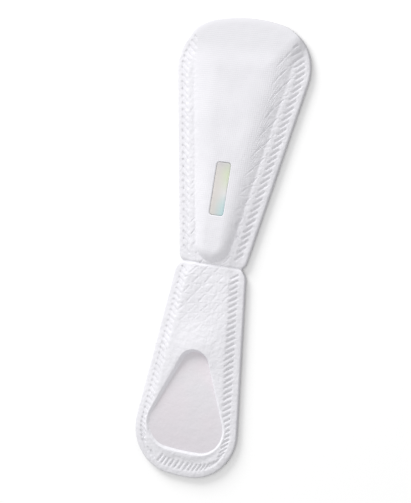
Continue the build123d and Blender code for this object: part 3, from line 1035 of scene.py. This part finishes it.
# %% Colours and bump
def colour_stops(shader, value, stops):
    """A colour that runs through stops, each a place on the value and a colour."""
    made = node(shader, "ShaderNodeValToRGB", Fac=value)
    elements = made.color_ramp.elements
    elements[0].position, elements[1].position = stops[0][0], stops[-1][0]
    for place, _ in stops[1:-1]:
        elements.new(place)
    for element, (_, colour) in zip(elements, stops):
        element.color = (*colour, 1)
    return made.outputs["Color"]


def ramp(shader, value, low, high, start=0.35, end=0.65):
    """A colour that runs from low to high as a value goes from start to end."""
    return colour_stops(shader, value, ((start, low), (end, high)))


def mixed(shader, factor, first, second):
    """A colour between two others."""
    made = node(shader, "ShaderNodeMix", Factor=factor, i6=first, i7=second)
    made.data_type = "RGBA"
    return made.outputs[2]


def bumped(shader, height, depth):
    """Gives a shader bump from a height value, with a depth in millimetres."""
    bump = node(shader, "ShaderNodeBump", Height=height, Strength=1.0, Distance=depth * MM)
    set_inputs(shader, Normal=bump.outputs["Normal"])


# %% [markdown]
# The paper is a cool white with faint clouds. The mould's gauze left fine linen ribs on the hump, and the
# pressed parts have a pebbled grain. Both are finer than the sheet's faces, so they are bump. Each vertex
# stores how fully it lies on the hump, and how far out on the two ends, which get painted shade: a greyer
# tone.

# %% Ribs and zones
RIB_PITCH = 0.62
RIB_BEND = 0.6
WAVE_SCALE = 20
LINEN_RUN = 3.0
# Painted shade: the wide end and the sampling end are given a greyer tone.
WIDE_END_SHADE = (14.0, 7.0)
SAMPLING_END_SHADE = (-50.0, 8.0)
SAMPLING_SHADE_SHARE = 0.6


def ribs(shader, axis):
    """Parallel ribs across one axis, as a wave texture. Its waves are 2 pi / (20 scale) apart."""
    scale = 2 * math.pi / (WAVE_SCALE * RIB_PITCH * MM)
    wave = node(shader, "ShaderNodeTexWave", Vector=object_place(shader), Scale=scale, Distortion=RIB_BEND)
    wave.bands_direction = axis
    return wave.outputs["Fac"]


def zone_value(shader, name):
    """A vertex attribute as a value: 1 in the zone, 0 outside it and on pieces that lack it."""
    mask = node(shader, "ShaderNodeAttribute")
    mask.attribute_name = name
    return mask.outputs["Fac"]


def mark_zones(piece):
    """Stores on each vertex how fully it lies on the hump's top, and how far out on the two ends that get
    painted shade.
    """
    place = np.empty(len(piece.data.vertices) * 3, np.float32)
    piece.data.vertices.foreach_get("co", place)
    plan = place.reshape(-1, 3)[:, :2] / MM - [0, CREASE_Y]
    # Painted shade, greying the wide end and, less, the sampling end.
    wide_end_painted_shade = ease((plan[:, 1] - UPPER_LENGTH + WIDE_END_SHADE[0]) / WIDE_END_SHADE[1])
    sampling_end_painted_shade = SAMPLING_SHADE_SHARE * ease((SAMPLING_END_SHADE[0] - plan[:, 1]) / SAMPLING_END_SHADE[1])
    zones = {"linen": ease(hump_inset(plan) / LINEN_RUN), "painted_shade_ends": np.maximum(wide_end_painted_shade, sampling_end_painted_shade)}
    for name, value in zones.items():
        zone = piece.data.attributes.new(name, "FLOAT", "POINT")
        zone.data.foreach_set("value", value.astype(np.float32))


mark_zones(front)
print(len(front.data.attributes["painted_shade_ends"].data), "places marked")

# %% Pressed paper
RIB_HEIGHT = 0.5
PEBBLE_HEIGHT = 6.5
PAPER_BUMP = 0.035
PAPER_TONES = ((0.862, 0.855, 0.895), (0.898, 0.89, 0.93))
PAINTED_SHADE_TONE = (0.79, 0.785, 0.82, 1)


def pressed_paper():
    """White moulded fibre: cloudy cool white, with painted shade greying the two ends. The hump has
    fine linen ribs, and the rest a pebbled grain."""
    finish, shader = new_finish("pressed_paper", roughness=0.82, specular=0.2)
    clouds = ramp(shader, grain(shader, size=7.0, detail=2.0), *PAPER_TONES)
    # Painted shade greys the two ends of the paper.
    set_inputs(shader, Base_Color=mixed(shader, zone_value(shader, "painted_shade_ends"), clouds, PAINTED_SHADE_TONE))
    linen = zone_value(shader, "linen")
    weave = calculate(shader, "ADD", ribs(shader, "X"), ribs(shader, "Y"))
    weave = calculate(shader, "MULTIPLY", weave, linen, RIB_HEIGHT)
    off_hump = calculate(shader, "SUBTRACT", 1.0, linen)
    pebbles = calculate(shader, "MULTIPLY", grain(shader, size=1.3, detail=2.0), off_hump, PEBBLE_HEIGHT)
    fibre = grain(shader, size=0.5, detail=4.0)
    bumped(shader, calculate(shader, "ADD", fibre, pebbles, weave), PAPER_BUMP)
    return finish


paper = pressed_paper()
front.data.materials.append(paper)
print(paper.name, len(paper.node_tree.nodes), "nodes")

# %% [markdown]
# The felt is a pale fibre that drifts from pinkish to greyish, with painted shade that darkens it towards
# the broad end. Loose fibres could be modelled as hair, but felt this fine only needs a coarser bump than
# the paper's.

# %% Felt of the pad
FELT_TONES = ((0.832, 0.817, 0.852), (0.862, 0.815, 0.855))
# Painted shade: the felt is drawn darker towards the broad end.
FELT_PAINTED_SHADE = (0.75, 0.715, 0.755, 1)
FELT_SHADE_FROM = TEAR_TIP - 8
FELT_BUMP = 0.09


def felt():
    """Pale felted fibre that drifts between two whites, with painted shade darkening it at the broad end.
    """
    finish, shader = new_finish("felt", roughness=0.95, specular=0.1)
    drift = ramp(shader, grain(shader, size=9.0, detail=1.0), *FELT_TONES, start=0.4, end=0.6)
    along = node(shader, "ShaderNodeSeparateXYZ", Vector=object_place(shader)).outputs["Y"]
    # Painted shade, growing towards the broad end.
    shade_toward_end = rescaled(shader, along, CREASE_Y + FELT_SHADE_FROM, CREASE_Y + TEAR_END)
    set_inputs(shader, Base_Color=mixed(shader, shade_toward_end, drift, FELT_PAINTED_SHADE))
    bumped(shader, grain(shader, size=0.9, detail=3.0), FELT_BUMP)
    return finish


pad.data.materials.append(felt())
print("felt darkens over", round(FELT_SHADE_FROM - TEAR_END, 1), "mm")

# %% [markdown]
# A thin film shows faint colours in daylight, because light from its two faces meets out of step. Working
# that out would need its exact thickness, so the tints are painted reflection, drawn as two runs of colour
# stops, for the beige left and the tinted right, mixed across the window.

# %% Clear film
FILM_LEFT = ((0.0, (0.85, 0.83, 0.8)), (0.5, (0.92, 0.88, 0.85)),
             (0.85, (0.87, 0.84, 0.8)), (1.0, (0.79, 0.77, 0.78)))
# Painted reflection: the colour stops of the film's right side.
FILM_RIGHT_PAINTED_REFLECTION = ((0.08, (0.68, 0.88, 0.9)), (0.2, (0.72, 0.9, 0.91)), (0.42, (0.97, 0.96, 0.96)),
              (0.76, (0.86, 0.94, 0.72)), (1.0, (0.8, 0.81, 0.76)))
FILM_TINT_Y = (-7.0, 9.0)
FILM_TINT_X = (-1.0, 1.6)
FILM_TINT_BEND = 2.0
FILM_ALPHA = 0.8


def clear_film():
    """Thin glossy film, a little milky: beige on the left, and on the right painted reflection,
    yellow-green above, nearly white in the middle and blue-green below. Noise bends the bounds between the
    tints."""
    finish, shader = new_finish("clear_film", roughness=0.15, specular=0.5)
    across, along, _ = node(shader, "ShaderNodeSeparateXYZ", Vector=object_place(shader)).outputs
    bent = calculate(shader, "MULTIPLY", grain(shader, size=4.0, detail=1.0), FILM_TINT_BEND * MM)
    low, high = (CREASE_Y + WINDOW_RISE + y for y in FILM_TINT_Y)
    upward = rescaled(shader, calculate(shader, "ADD", along, bent), low, high)
    rightward = rescaled(shader, across, *FILM_TINT_X)
    left_tint, right_reflection = (colour_stops(shader, upward, stops) for stops in (FILM_LEFT, FILM_RIGHT_PAINTED_REFLECTION))
    # The right side's painted reflection is mixed in across the window.
    tint_and_reflection = mixed(shader, rightward, left_tint, right_reflection)
    set_inputs(shader, Base_Color=tint_and_reflection, Alpha=FILM_ALPHA)
    return finish


film.data.materials.append(clear_film())
print("film tinted over", FILM_TINT_Y[1] - FILM_TINT_Y[0], "mm")

# %% [markdown]
# The back sheet and the strip keep their solids and get finishes in place of plain colours: paper for the
# back, and two close tones in fine grain for the card, the membrane and the strip's pads.

# %% Back and strip
def strip_stock(name, low, high, size, depth):
    """Card or absorbent stock of the strip: two close tones in fine grain, with a little bump."""
    finish, shader = new_finish(name, roughness=0.9, specular=0.15)
    fibres = grain(shader, size, detail=3.0)
    set_inputs(shader, Base_Color=ramp(shader, fibres, low, high))
    bumped(shader, fibres, depth)
    return finish


membrane = strip_stock("membrane", (0.86, 0.83, 0.78), (0.92, 0.89, 0.85), size=0.25, depth=0.02)
card = strip_stock("backing_card", (0.75, 0.74, 0.7), (0.8, 0.79, 0.76), size=0.6, depth=0.02)
strip_pad = strip_stock("strip_pad", (0.74, 0.72, 0.7), (0.82, 0.8, 0.78), size=0.4, depth=0.05)
solid_finishes = {"back_ply": paper, "membrane": membrane, "backing_card": card,
                  "conjugate_pad": strip_pad, "wick_pad": strip_pad}
for name, finish in solid_finishes.items():
    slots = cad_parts[name].data.materials
    slots.clear()
    slots.append(finish)
print(len(solid_finishes), "solids dressed")

# %% [markdown]
# ## Floor and light
# A pale floor carries the soft shadow. The camera sees it white, while it throws back only a little light,
# so that the case's own edges stay darker than its faces. One large lamp from the upper left models the
# relief, and an even white surround fills the rest.

# %% Floor
FLOOR_SIZE = 3000.0
FLOOR_DROP = 0.4
FLOOR_SEEN = 0.97
FLOOR_BOUNCE = 0.4
FLOOR_LIFT = 0.12
half_floor = FLOOR_SIZE / 2 * MM
turns = ((-1, -1), (1, -1), (1, 1), (-1, 1))
corners = [(x * half_floor, y * half_floor, -FLOOR_DROP * MM) for x, y in turns]
floor_mesh = bpy.data.meshes.new("floor")
floor_mesh.from_pydata(corners, [], [(0, 1, 2, 3)])
floor = added("floor", floor_mesh)

floor_finish, floor_shader = new_finish("floor_white", roughness=0.9, specular=0.0)
seen = node(floor_shader, "ShaderNodeLightPath").outputs["Is Camera Ray"]
bounce, whole = (FLOOR_BOUNCE,) * 3, (FLOOR_SEEN,) * 3
tone = ramp(floor_shader, seen, bounce, whole, start=0, end=1)
lift = calculate(floor_shader, "MULTIPLY", seen, FLOOR_LIFT)
set_inputs(floor_shader, Base_Color=tone, Emission_Color=(1, 1, 1, 1), Emission_Strength=lift)
floor_mesh.materials.append(floor_finish)
print("floor", FLOOR_DROP, "mm below the case")

# %% Light
KEY_FROM = Vector((-0.64, 0.71, 0.45))
KEY_DISTANCE = 1.4
KEY_SIZE = 0.7
KEY_POWER = 14.5
SURROUND = 0.65
key_data = bpy.data.lights.new("key", "AREA")
key_data.size = KEY_SIZE
key_data.energy = KEY_POWER
key = added("key", key_data)
key.location = KEY_FROM.normalized() * KEY_DISTANCE
key.rotation_euler = KEY_FROM.to_track_quat("Z", "Y").to_euler()

world = bpy.data.worlds.new("surround")
world.use_nodes = True
set_inputs(world.node_tree.nodes["Background"], Color=(1, 1, 1, 1), Strength=SURROUND)
scene.world = world
scene.view_settings.view_transform = "Standard"
print("lamp at", [round(v, 2) for v in key.location], "m")
